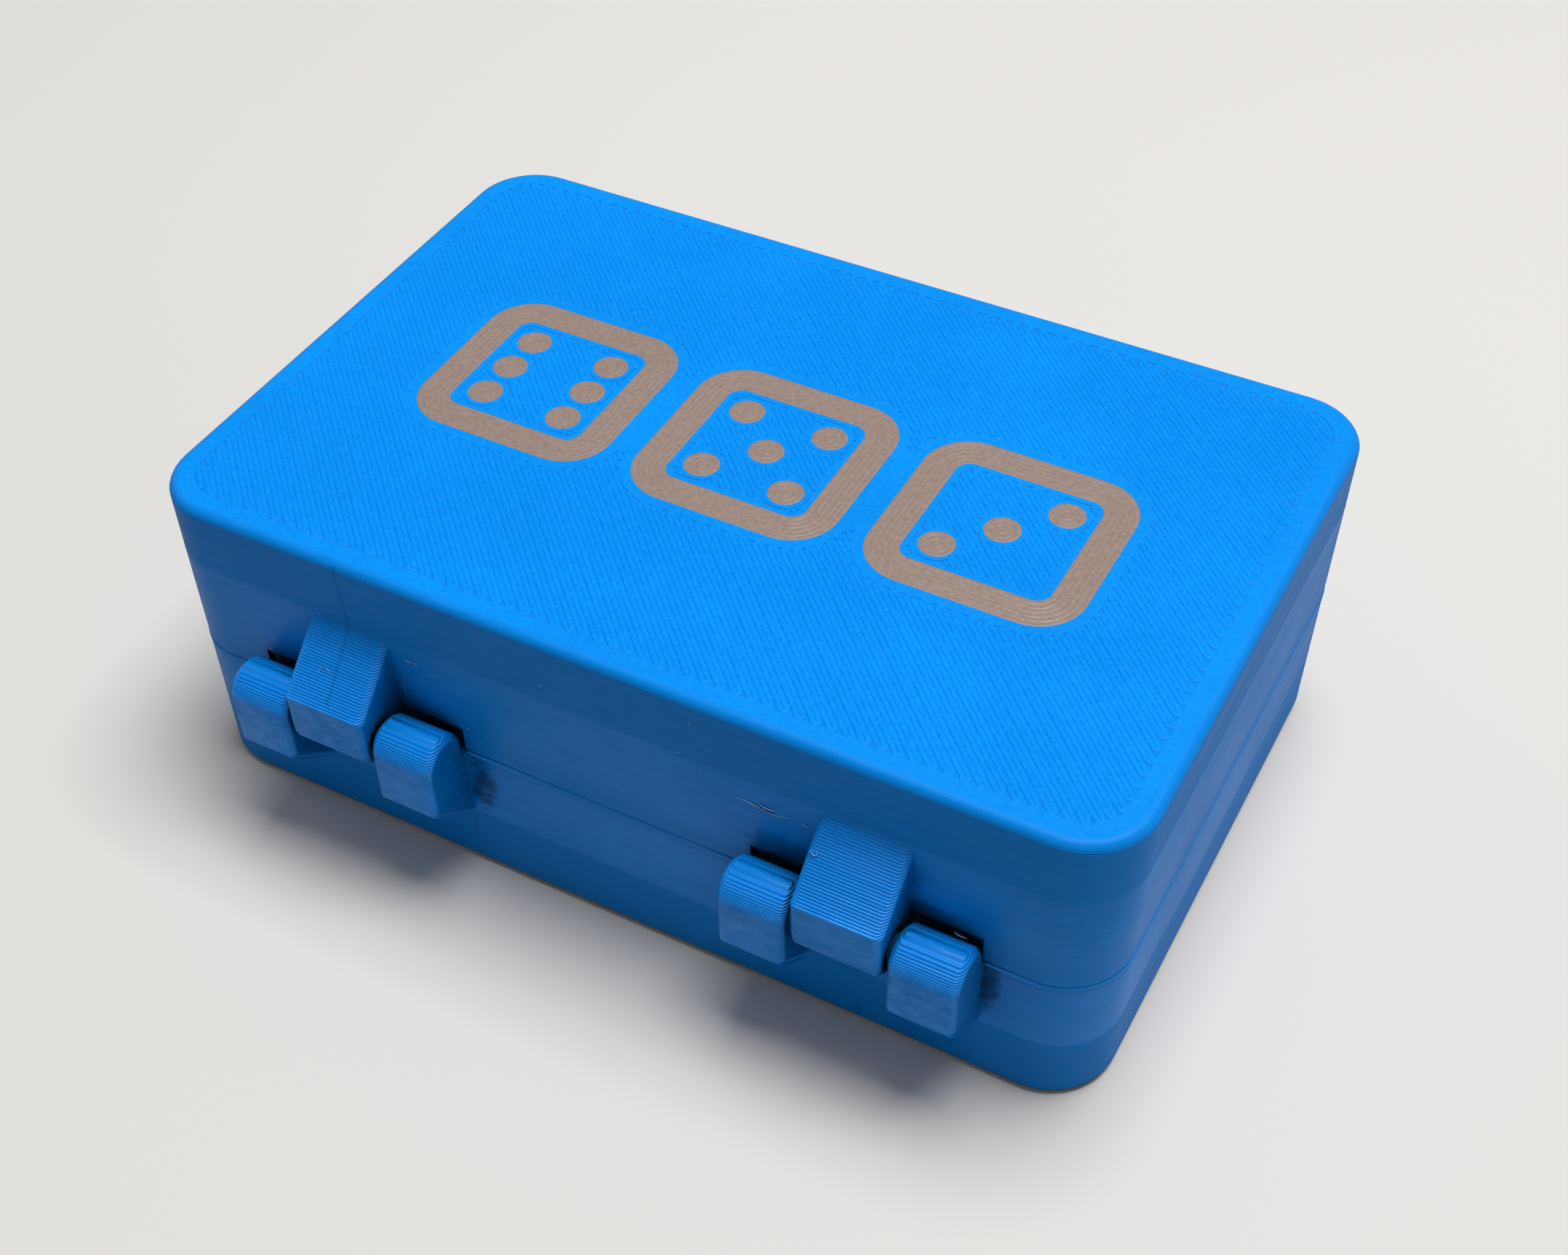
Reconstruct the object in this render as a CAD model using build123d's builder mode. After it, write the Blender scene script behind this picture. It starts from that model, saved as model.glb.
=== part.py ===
from build123d import *
import os

# Dice box with a hinged lid, printed in place: the base tray and the lid come off the printer
# already joined, and the lid swings on cone pivots until it lies flat behind the tray.
#
# Frame: X runs along the box, parallel to the hinge axis. The hinges stand on the +Y wall and
# the front, where the box opens, faces -Y. Z is up. The origin is the middle of the underside.
# All sizes are millimetres.

# Box body
box_length = 95.0  # over the two end walls
box_width = 61.7  # over the front wall and the hinge wall
box_height = 33.3  # closed, from the underside to the top
parting_height = 15.5  # where the tray's rim meets the lid's rim
corner_radius = 6.4  # upright corners, outside
wall = 2.4
floor_thickness = 2.0
roof_thickness = 2.0
edge_chamfer = 1.0  # round the underside and round the top
rim_chamfer = 0.2  # on the outer edge of both rims
inner_chamfer = 0.8  # where the walls meet the floor and the roof

# Lip that stands on the tray's rim and locates the lid
lip_height = 2.0
lip_thickness = 1.2
lip_clearance = 0.2
lip_lead_in = 0.3  # chamfer along the top of the lip
lip_stop = 12.0  # bare rim beside the hinge wall, where the lid has to swing

# Snap bead on the front of the lip, with its groove in the lid
snap_length = 16.0
snap_radius = 0.35
snap_clearance = 0.2

# Thumb scoop in the tray's front wall, under the lid's rim
scoop_width = 14.0
scoop_depth = 1.0

# Hinges
hinge_spacing = 51.4  # from the middle of one hinge to the middle of the other
middle_knuckle_width = 8.5  # the lid's knuckle
side_knuckle_width = 6.5  # the tray's knuckles, one on each side of it
knuckle_gap = 0.45  # between neighbouring knuckles
knuckle_radius = 2.7
knuckle_wall_gap = 0.3  # between a knuckle and the hinge wall's plane
knuckle_edge = 0.5  # chamfer along the sides of a knuckle
neck_drop = 1.15  # from the hinge axis to where a knuckle stands clear of its wall
relief_radius = 3.5  # hollow in a wall behind the knuckles of the other body
lid_arm_rise = 9.4  # from the hinge axis to where the slope of an arm meets the wall
lid_face_rise = 3.75  # from the hinge axis to where the upright face of an arm ends
tray_arm_rise = 9.6
tray_face_rise = 4.9
pivot_radius = 1.9  # cone pivot, at the side knuckle's face
pivot_tip_radius = 0.5
pivot_length = 1.4

# Inlaid die faces, printed flush with the lid's top in a second colour
face_size = 20.5
face_pitch = 23.4
face_corner = 4.6
face_stroke = 3.2
pip_diameter = 3.4
pip_pitch = 4.3
inlay_depth = 0.6

# Worked out from the sizes above
inner_length = box_length - 2 * wall
inner_width = box_width - 2 * wall
inner_radius = corner_radius - wall
lip_length = inner_length + 2 * lip_thickness
lip_width = inner_width + 2 * lip_thickness
lip_radius = inner_radius + lip_thickness
snap_height = parting_height + lip_height / 2
scoop_radius = (scoop_width**2 / 4 + scoop_depth**2) / (2 * scoop_depth)
wall_y = box_width / 2
axis_height = box_height / 2  # the lid's top comes down level with the underside at 180 degrees
axis_y = wall_y + knuckle_wall_gap + knuckle_radius
arm_face_y = axis_y + knuckle_radius
pivot_face = middle_knuckle_width / 2 + knuckle_gap  # from a hinge's middle to a side knuckle
side_offset = pivot_face + side_knuckle_width / 2
hinge_middles = (-hinge_spacing / 2, hinge_spacing / 2)
hinge_sides = (-1, 1)
pip_cells = {
    "three": ((-1, -1), (0, 0), (1, 1)),
    "five": ((-1, -1), (-1, 1), (0, 0), (1, -1), (1, 1)),
    "six": ((-1, -1), (-1, 0), (-1, 1), (1, -1), (1, 0), (1, 1)),
}
face_x = {name: (i - 1) * face_pitch for i, name in enumerate(pip_cells)}


def hinge_knuckle(width, up, arm_rise, face_rise):
    """A knuckle on its sloping arm. up is -1 for the tray's knuckles and 1 for the lid's."""
    back_y = axis_y - knuckle_radius
    root_y = wall_y - wall / 2
    root_rise = arm_rise + (arm_rise - face_rise) / (arm_face_y - wall_y) * (wall_y - root_y)
    neck = max(neck_drop, (parting_height - axis_height) * up)
    with BuildPart() as knuckle:
        with BuildSketch(Plane.YZ.offset(-width / 2)):
            with BuildLine():
                Polyline(
                    (back_y, axis_height),
                    (back_y, axis_height + up * neck),
                    (root_y, axis_height + up * neck),
                    (root_y, axis_height + up * root_rise),
                    (arm_face_y, axis_height + up * face_rise),
                    (arm_face_y, axis_height),
                )
                ThreePointArc(
                    (arm_face_y, axis_height),
                    (axis_y, axis_height - up * knuckle_radius),
                    (back_y, axis_height),
                )
            make_face()
        extrude(amount=width)
        side_edges = knuckle.faces().filter_by(Axis.X).edges()
        chamfer(side_edges.filter_by(lambda e: e.center().Y > axis_y - knuckle_radius / 2), knuckle_edge)
    return knuckle.part


def reliefs(middles, width):
    """Hollows in a wall behind the knuckles of the other body, about the hinge axis."""
    with Locations(*[(x, axis_y, axis_height) for x in middles]):
        Cylinder(
            relief_radius, width + 2 * knuckle_gap, rotation=(0, 90, 0), mode=Mode.SUBTRACT
        )


def rim_band(clearance):
    """The strip of rim that carries the lip, open along the hinge wall, widened by a clearance."""
    with BuildSketch(Plane.XY.offset(parting_height)) as band:
        RectangleRounded(
            lip_length + 2 * clearance, lip_width + 2 * clearance, lip_radius + clearance
        )
        RectangleRounded(inner_length, inner_width, inner_radius, mode=Mode.SUBTRACT)
        with Locations((0, wall_y)):
            Rectangle(box_length, 2 * (lip_stop - clearance), mode=Mode.SUBTRACT)
    return band.sketch


def face_ring(name):
    """The outline of a die face, on the lid's top."""
    with BuildSketch(Plane.XY.offset(box_height)) as ring:
        with Locations((face_x[name], 0)):
            RectangleRounded(face_size, face_size, face_corner)
            offset(amount=-face_stroke, mode=Mode.SUBTRACT)
    return ring.sketch


def face_pips(name):
    """The pips of a die face, on the lid's top."""
    spots = [(face_x[name] + col * pip_pitch, row * pip_pitch) for col, row in pip_cells[name]]
    with BuildSketch(Plane.XY.offset(box_height)) as pips:
        with Locations(*spots):
            Circle(pip_diameter / 2)
    return pips.sketch


side_knuckle = hinge_knuckle(side_knuckle_width, -1, tray_arm_rise, tray_face_rise)
middle_knuckle = hinge_knuckle(middle_knuckle_width, 1, lid_arm_rise, lid_face_rise)
rings = {name: face_ring(name) for name in pip_cells}
pips = {name: face_pips(name) for name in pip_cells}

# Base tray
with BuildPart() as base_tray:
    with BuildSketch():
        RectangleRounded(box_length, box_width, corner_radius)
    extrude(amount=parting_height)
    chamfer(base_tray.edges().group_by(Axis.Z)[0], edge_chamfer)
    chamfer(base_tray.edges().group_by(Axis.Z)[-1], rim_chamfer)
    with BuildSketch(Plane.XY.offset(floor_thickness)):
        RectangleRounded(inner_length, inner_width, inner_radius)
    extrude(amount=parting_height - floor_thickness, mode=Mode.SUBTRACT)
    floor_edges = base_tray.edges().filter_by_position(Axis.Z, floor_thickness, floor_thickness)
    chamfer(floor_edges, inner_chamfer)

    # lip, snap bead and thumb scoop
    extrude(rim_band(0), amount=lip_height)
    chamfer(base_tray.edges().group_by(Axis.Z)[-1], lip_lead_in)
    with Locations((0, -lip_width / 2, snap_height)):
        Cylinder(snap_radius, snap_length, rotation=(0, 90, 0))
    with Locations((0, scoop_depth - wall_y - scoop_radius, parting_height)):
        Sphere(scoop_radius, mode=Mode.SUBTRACT)

    # side knuckles, each with a cone pivot that points at the middle of its hinge
    reliefs(hinge_middles, middle_knuckle_width)
    for middle in hinge_middles:
        for side in hinge_sides:
            with Locations((middle + side * side_offset, 0, 0)):
                add(side_knuckle)
            pivot_x = middle + side * (pivot_face - pivot_length / 2)
            with Locations(Location((pivot_x, axis_y, axis_height), (0, -90 * side, 0))):
                Cone(pivot_radius, pivot_tip_radius, pivot_length)
base_tray.part.label = "base_tray"

# Lid
with BuildPart() as lid:
    with BuildSketch(Plane.XY.offset(parting_height)):
        RectangleRounded(box_length, box_width, corner_radius)
    extrude(amount=box_height - parting_height)
    chamfer(lid.edges().group_by(Axis.Z)[0], rim_chamfer)
    chamfer(lid.edges().group_by(Axis.Z)[-1], edge_chamfer)
    with BuildSketch(Plane.XY.offset(parting_height)):
        RectangleRounded(inner_length, inner_width, inner_radius)
    roof_height = box_height - roof_thickness
    extrude(amount=roof_height - parting_height, mode=Mode.SUBTRACT)
    chamfer(lid.edges().filter_by_position(Axis.Z, roof_height, roof_height), inner_chamfer)

    # rebate that the lip fits, with the snap bead's groove
    extrude(rim_band(lip_clearance), amount=lip_height + lip_clearance, mode=Mode.SUBTRACT)
    with Locations((0, -lip_width / 2, snap_height)):
        Cylinder(
            snap_radius + snap_clearance,
            snap_length + 2 * snap_clearance,
            rotation=(0, 90, 0),
            mode=Mode.SUBTRACT,
        )

    # middle knuckles, with a socket for a cone pivot in each side
    reliefs([m + s * side_offset for m in hinge_middles for s in hinge_sides], side_knuckle_width)
    for middle in hinge_middles:
        with Locations((middle, 0, 0)):
            add(middle_knuckle)
        for side in hinge_sides:
            socket_x = middle + side * (middle_knuckle_width / 2 - pivot_length / 2)
            with Locations(Location((socket_x, axis_y, axis_height), (0, -90 * side, 0))):
                Cone(pivot_radius, pivot_tip_radius, pivot_length, mode=Mode.SUBTRACT)

    # pockets for the inlaid die faces
    for name in pip_cells:
        extrude(rings[name], amount=-inlay_depth, mode=Mode.SUBTRACT)
        extrude(pips[name], amount=-inlay_depth, mode=Mode.SUBTRACT)
lid.part.label = "lid"

os.makedirs("parts", exist_ok=True)
export_step(base_tray.part, "parts/base_tray.step")
export_step(lid.part, "parts/lid.step")

# Inlays: a ring and its pips for each die face
for name in pip_cells:
    with BuildPart() as ring_inlay:
        extrude(rings[name], amount=-inlay_depth)
    ring_inlay.part.label = f"ring_of_{name}"
    export_step(ring_inlay.part, f"parts/ring_of_{name}.step")

    with BuildPart() as pips_inlay:
        extrude(pips[name], amount=-inlay_depth)
    pips_inlay.part.label = f"pips_of_{name}"
    export_step(pips_inlay.part, f"parts/pips_of_{name}.step")
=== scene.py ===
"""A hinged dice box as it comes off a printer: layered walls, laid lines and inlaid die faces.

Lengths are worked out in millimetres and turned into metres when a mesh is made.
"""
import math
from types import SimpleNamespace

import bmesh
import bpy
import numpy as np
from mathutils import Matrix, Vector


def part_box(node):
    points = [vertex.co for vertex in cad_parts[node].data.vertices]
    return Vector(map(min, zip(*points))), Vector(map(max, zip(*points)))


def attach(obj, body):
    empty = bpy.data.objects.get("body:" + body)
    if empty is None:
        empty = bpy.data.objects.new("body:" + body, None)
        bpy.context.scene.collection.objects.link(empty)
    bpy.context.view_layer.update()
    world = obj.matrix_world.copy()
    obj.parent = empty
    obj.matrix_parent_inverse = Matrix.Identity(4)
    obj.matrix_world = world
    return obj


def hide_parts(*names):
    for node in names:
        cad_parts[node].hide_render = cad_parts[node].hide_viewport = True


bl_info = {
    "name": "Printed dice box",
    "version": (1, 0, 0),
    "blender": (4, 5, 0),
    "location": "View3D > Sidebar > Dice Box",
    "description": "Builds the printed surfaces of a hinged dice box on its packed frame",
    "category": "Object",
}

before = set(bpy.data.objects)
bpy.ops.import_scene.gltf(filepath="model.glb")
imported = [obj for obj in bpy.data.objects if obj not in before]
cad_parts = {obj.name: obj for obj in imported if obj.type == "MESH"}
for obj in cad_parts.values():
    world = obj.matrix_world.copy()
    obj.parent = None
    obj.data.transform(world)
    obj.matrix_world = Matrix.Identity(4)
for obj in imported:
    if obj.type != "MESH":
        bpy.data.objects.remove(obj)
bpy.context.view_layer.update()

MM = 0.001
# the sizes that follow are in millimetres, unless a comment says otherwise
TOUCH = 1e-6  # two heights closer than this are the same
NEARBY = 0.01  # a point closer than this to a plane of the CAD lies on it
FACES = ("three", "five", "six")
AXIS_HEIGHT = 16.65  # of the hinge
RIM_HEIGHT = 15.5  # where the rims of the two halves meet
SHARP = 68  # an edge that turns by more than this stays sharp, in degrees
TALL = 40.0  # the top of the height scale of SHEEN_ZONES
# heights, and how much the layers there shine: a real coat, and sheen painted into the colour
SHEEN_ZONES = (
    (0.0, 0.1), (7.2, 0.15), (7.5, 0.85), (14.6, 0.8), (15.5, 0.5), (17.0, 0.45),
    (17.2, 0.55), (19.2, 0.75), (26.3, 0.6), (26.5, 0.1), (33.0, 0.1),
)
# layers that stand out from the walls, and how far
PROUD = {
    "lid": {32.6: 0.008, 26.3: 0.012, 19.2: 0.008, 15.6: 0.08},
    "base_tray": {15.5: 0.16, 15.3: 0.05, 14.7: 0.015, 7.5: 0.012},
}
FLUSH = 1e-3  # a point closer than this to the height of a level surface lies on it
STEEP = 0.3  # a face counts as steep when its normal has more than this share on the level
LEVEL = 0.999  # a face counts as level when its normal has more than this share upright
CROWN = 0.85  # the same for the rounded tops of the knuckles
MITRE = 1.6  # at a corner a layer moves in by up to this many times its inset
# layers that run into each other at the bed: their share of a layer's height, of the wander and
# of the rounding of its edge, and the same of the rounding where they hardly show
MERGED_HEIGHT, MERGED_WANDER, MERGED_BULGE, SMOOTH_BULGE = 0.96, 0.25, 0.7, 0.05
STRAY_STEP = 2.5  # between the points of a laid line that strays
LEAST_RADIUS = 0.05  # a corner with a smaller radius than this is sharp
LINE_DEPTH = 1.4  # depth of a laid line, in depths of the groove beside it
LEAST_FLAT = 0.4  # share of a laid line's width that stays flat at least
SHARPEST = 0.2  # holds back the outside of a laid line in a sharp turn
FILL_SINK = 0.003  # how far the fill lies below the lines round it
PIP_LINE = 0.44  # width of the line round a pip
INNER_LOOPS = 2  # lines that follow the walls inside
LANE_TESTS = 8  # spots tested along a lane of the fill, for each line's width
SHORTEST_LANE = 6  # in spots tested
TURN_REACH = 2.2  # how far from its turn a lane may end, in line widths
BETWEEN_OVER = 1.0  # how much longer than a ring's straight side the lines between rings are
BETWEEN_CLEAR = 0.3  # how much wider than those lines the gap in the fill is
RUTS = (1.87, 2.55, 2.9)  # grooves along a knuckle's top, from its front
# X where the hollows in the lid's hinge wall end, and where they end after they are shortened,
# up to a height and down to a depth from the wall's outer face
SHORT_HOLLOWS = ((-37.35, -36.6), (-14.05, -14.9), (14.05, 14.6), (37.35, 36.5))
SHORT_TOP, SHORT_DEPTH = 18.6, 0.6
# where layers begin and end: X at the top, X at the bottom, both heights and the width
SEAMS = (
    (26.05, 25.3, 33.0, 20.5, 0.22),
    (-25.5, -25.6, 3.1, 0.6, 0.3),
    (14.8, 15.1, 7.0, 2.6, 0.25),
)
# painted shade beside and above the knuckles and painted sheen and highlights on the hinge wall: X,
# Z, half the width, half the height, and how light or dark
LIGHT_AND_SHADE_PATCHES = (
    (-37.4, 12.5, 1.1, 3.0, -0.65),
    (13.1, 11.7, 1.4, 3.4, -0.7),
    (-17.9, 19.9, 3.0, 1.3, -0.3),
    (-32.2, 21.1, 2.4, 1.3, 0.6),
    (-39.6, 15.3, 2.6, 0.14, 1.0),
    (11.0, 15.3, 2.6, 0.14, 0.7),
)
# where masks in the materials begin and where they are full
# OFF_WALL also bounds the shade painted on the knuckles' sides
OFF_WALL = (31.0, 31.4)  # Y: out on the knuckles and their arms
# KNUCKLE_FACES bounds the sheen painted into the colour of the knuckles' faces, which also get more
# coat
KNUCKLE_FACES = (36.0, 36.4)  # Y: on the faces of the knuckles
# IN_HOLLOWS, NEAR_AXIS, NEAR_MIDDLE and OFF_RIMS bound the shade painted into the hinge wall's
# hollows
IN_HOLLOWS = ((30.75, 30.5), (29.0, 29.2))  # Y: inside the hinge wall, and short of the room
ON_WALL = ((30.2, 30.5), (31.4, 31.1))  # Y: on the hinge wall from inside, and from outside
NEAR_AXIS = (3.674, 3.536)  # from the hinge axis in Z
NEAR_MIDDLE = (40.5, 40.0)  # from the middle in X
OFF_RIMS = (0.1, 0.2)  # from the rims in Z
BELOW_EDGE = (32.7, 32.3)  # Z: below the rounding of the top
# the next two set the shade painted into crevices: the closer other surfaces stand round a surface,
# the darker it is painted
CREVICE_REACH = 6.0  # how far a surface looks for others round it
OPEN_SHARE = (0.2, 0.62)  # how much of what lies round a surface is open: a crevice, and open
FEET = (-33.65, -17.75, 17.75, 33.65)  # middles of the tray's knuckles
# along the foot of a knuckle's face: X from its middle, Y from its front and Z
FOOT_PATH = (
    (2.7, -0.05, 11.75), (0.0, -0.03, 11.75), (-2.6, -0.05, 11.75),
    (-3.05, -0.3, 11.6), (-3.22, -1.2, 10.8), (-3.24, -4.6, 8.0),
)
FOOT_LINE = 0.09  # thickness of the line that droops along the foot of a tray knuckle's face
# strings and specks that the nozzle left on each node: the thickness and the points
STRINGS = {
    "lid": (
        (0.13, (-13.6, 30.9, 24.0), (-15.1, 30.9, 23.9), (-16.4, 30.95, 23.7), (-17.5, 30.9, 23.6),
         (-18.6, 30.9, 23.9)),
        (0.17, (-15.8, 30.9, 24.2), (-16.6, 30.95, 24.05), (-17.4, 30.9, 24.1)),
        (0.12, (-19.9, 30.9, 23.9), (-20.2, 30.95, 23.8), (-20.6, 30.9, 23.7)),
        (0.08, (-10.5, 30.87, 25.8), (-10.45, 30.9, 25.4), (-10.4, 30.87, 24.95)),
        (0.09, (19.8, 30.87, 24.7), (19.1, 30.9, 24.65), (18.3, 30.87, 24.7)),
        (0.06, (17.1, 30.87, 24.0), (16.6, 30.88, 24.1), (16.2, 30.87, 24.2)),
        (0.05, (20.4, 30.87, 22.5), (20.45, 30.88, 21.0), (20.4, 30.87, 19.4)),
        (0.14, (-34.0, 30.9, 17.95), (-34.4, 31.0, 17.8), (-35.2, 30.9, 17.7)),
        (0.1, (14.0, 30.87, 18.7), (13.9, 30.9, 18.75), (13.8, 30.87, 18.7)),
        (0.08, (5.4, 30.87, 28.25), (5.2, 30.9, 28.25), (5.0, 30.87, 28.2)),
        (0.07, (1.9, 30.87, 29.4), (1.8, 30.89, 29.45), (1.7, 30.87, 29.4)),
        (0.1, (4.0, 30.87, 17.4), (3.9, 30.9, 17.45), (3.8, 30.87, 17.4)),
        (0.08, (-7.4, 30.87, 20.0), (-7.5, 30.9, 19.95), (-7.6, 30.87, 20.0)),
        (0.06, (-9.3, 30.87, 31.0), (-9.5, 30.89, 30.8), (-9.4, 30.87, 30.5)),
        (0.07, (-7.9, 30.87, 26.8), (-8.1, 30.9, 26.6), (-8.4, 30.87, 26.7)),
        (0.07, (-10.1, 30.87, 27.2), (-10.3, 30.9, 27.1), (-10.5, 30.87, 27.15)),
        (0.06, (-1.5, 30.87, 19.5), (-1.7, 30.9, 19.3), (-1.9, 30.87, 19.4)),
        (0.1, (-21.8, 33.1, 23.95), (-22.2, 33.4, 23.75), (-22.45, 33.25, 23.8),
         (-22.4, 32.95, 24.1)),
        (0.09, (-18.2, 33.9, 19.4), (-18.35, 33.9, 19.45), (-18.45, 33.85, 19.4)),
        (0.08, (29.0, 33.2, 23.85), (29.1, 33.2, 23.9), (29.2, 33.15, 23.85)),
        (0.07, (27.1, 34.4, 22.6), (27.0, 34.1, 22.95), (26.7, 33.8, 23.2), (26.2, 33.95, 23.05),
         (26.1, 34.1, 22.85)),
        (0.12, (24.4, 36.56, 19.5), (24.3, 36.6, 19.45), (24.2, 36.56, 19.5)),
    ),
    "base_tray": (
        (0.13, (14.3, 36.45, 18.1), (14.35, 36.55, 17.6), (14.3, 36.5, 17.0)),
        (0.05, (15.7, 30.87, 14.0), (15.2, 30.88, 14.2), (14.8, 30.87, 14.4)),
        (0.09, (-2.7, 30.87, 14.3), (-2.8, 30.9, 14.25), (-2.95, 30.87, 14.3)),
        (0.08, (10.9, 30.87, 10.95), (10.8, 30.9, 10.9), (10.7, 30.87, 10.9)),
        (0.09, (-29.3, 30.87, 6.9), (-29.4, 30.9, 6.85), (-29.6, 30.87, 6.8)),
        (0.08, (-32.4, 30.87, 6.95), (-32.5, 30.9, 6.9), (-32.65, 30.87, 6.95)),
    ),
}


def in_mm(node):
    """A node's lowest and highest corner, in millimetres."""
    return [np.array(corner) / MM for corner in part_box(node)]


# ---------------------------------------------------------------- settings


def amount(name, description, default, unit):
    """A number property of a unit."""
    return bpy.props.FloatProperty(
        name=name, description=description, default=default, unit=unit, precision=6
    )


def length(name, description, size):
    """A length property whose default is given in millimetres."""
    return amount(name, description, size * MM, "LENGTH")


def count(name, description, default):
    """A property that counts things."""
    return bpy.props.IntProperty(name=name, description=description, default=default, min=0)


def tint(name, description, red, green, blue):
    """A colour property, in linear light."""
    mix = (red, green, blue)
    return bpy.props.FloatVectorProperty(
        name=name, description=description, default=mix, subtype="COLOR", min=0, max=1
    )


def point(name, description, x, y, z):
    """A property for a place, whose default is given in millimetres."""
    return bpy.props.FloatVectorProperty(
        name=name,
        description=description,
        default=(x * MM, y * MM, z * MM),
        size=3,
        subtype="TRANSLATION",
        unit="LENGTH",
    )


class PrintSettings(bpy.types.PropertyGroup):
    """How the box was printed."""

    layer: length("Layer height", "Height of one printed layer", 0.2)
    bead_depth: length("Bead depth", "Depth between two layers of an upright wall", 0.008)
    rib_depth: length("Rib depth", "Depth between two layers of a slope", 0.05)
    wander: length("Layer wander", "How far one layer stands behind another", 0.009)
    line: length("Line width", "Width of one laid line on a flat surface", 0.514)
    merged_layers: count("Merged layers", "Layers at the bed that run into each other", 5)
    smooth_layers: count("Smooth layers", "Layers at the bed that hardly show at all", 2)
    rounding: length("Knuckle rounding", "Rounding beside the chamfers of a knuckle", 0.28)
    rut: length("Knuckle groove", "Depth between two lines along a knuckle's top", 0.015)
    groove: length("Groove depth", "Depth between two pairs of laid lines", 0.05)
    pair_groove: length("Pair groove depth", "Depth between two lines of a pair", 0.037)
    loop_groove: length("Loop groove depth", "Depth between lines that follow a rim", 0.01)
    overlap: length("Fill overlap", "How far the fill reaches over the lines of a rim", 0.23)
    wobble: length("Line wobble", "How far a laid line strays from its path", 0.016)
    shoulder: length("Line shoulder", "Width of the rounding along a laid line", 0.09)
    reach_over: length("Reach over the rim", "How far laid lines reach over a rounded rim", 0.1)
    rim_loops: count("Rim loops", "Lines that follow the rim of a flat surface", 3)
    face_loops: count("Face loops", "Lines that follow the outside of a die face", 2)


class InlaySettings(bpy.types.PropertyGroup):
    """The die faces that are inlaid in the lid."""

    corner: length("Face corner", "Outer corner radius of a die face's ring", 4.6)
    stroke: length("Face stroke", "Width of a die face's ring", 3.2)
    face_groove: length("Face groove", "Depth between two laid lines of a die face", 0.031)
    pip: length("Pip diameter", "Diameter of one pip", 3.4)
    pitch: length("Pip pitch", "From the middle of one pip to the next along a row", 4.3)
    ring_lines: count("Ring lines", "Laid lines across a ring", 6)
    pip_lines: count("Pip lines", "Laid lines from a pip's middle to its edge", 3)


class BodySettings(bpy.types.PropertyGroup):
    """Sizes of the box that its outer corners don't tell."""

    wall: length("Wall", "Thickness of the walls", 2.4)
    floor: length("Floor", "Thickness of the floor and of the roof", 2.0)
    radius: length("Corner radius", "Radius of the upright corners", 6.4)
    edge: length("Edge chamfer", "Chamfer round the top and round the underside", 1.0)
    inner: length("Inner chamfer", "Chamfer where the walls meet the floor", 0.8)


class FinishSettings(bpy.types.PropertyGroup):
    """Colours of the two plastics, and of the shade painted into the box's crevices."""

    blue: tint("Blue plastic", "Colour of the box", 0.0, 0.25, 0.80)
    # painted shade: the colour that crevices, hollows and the knuckles' sides are blended towards
    deep: tint("Deep blue", "Colour of the box in its crevices", 0.0, 0.035, 0.08)
    brown: tint("Brown plastic", "Colour of the die faces", 0.257, 0.186, 0.156)
    pale: tint("Stretched plastic", "Colour of the strings on the walls", 0.20, 0.50, 0.90)


class StageSettings(bpy.types.PropertyGroup):
    """The camera and the floor."""

    place: point("Camera place", "Where the camera stands", -71.35, 129.55, 152.35)
    aim: point("Camera aim", "The place on the floor that the lens axis meets", -2.72, 9.0, 0.0)
    roll: amount(
        "Camera roll", "Turn of the camera about its lens axis", math.radians(-1.45), "ROTATION"
    )
    lens: amount("Lens", "Focal length for a sensor 36 mm wide", 47.38, "CAMERA")
    shift: bpy.props.FloatVectorProperty(
        name="Lens shift",
        description="Sideways and upward shift of the picture, as a share of its width",
        default=(0.0209, 0.0928),
        size=2,
    )
    floor: tint("Floor", "Colour of the floor", 0.66, 0.64, 0.61)


def box_sizes(scene):
    """The lengths of the print, the inlay and the body in millimetres, and their counts."""
    sizes = SimpleNamespace()
    for group in (scene.dice_box_print, scene.dice_box_inlay, scene.dice_box_body):
        for name in group.__annotations__:
            value = getattr(group, name)
            setattr(sizes, name, value / MM if isinstance(value, float) else value)
    return sizes


# ---------------------------------------------------------------- printed layers


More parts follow.
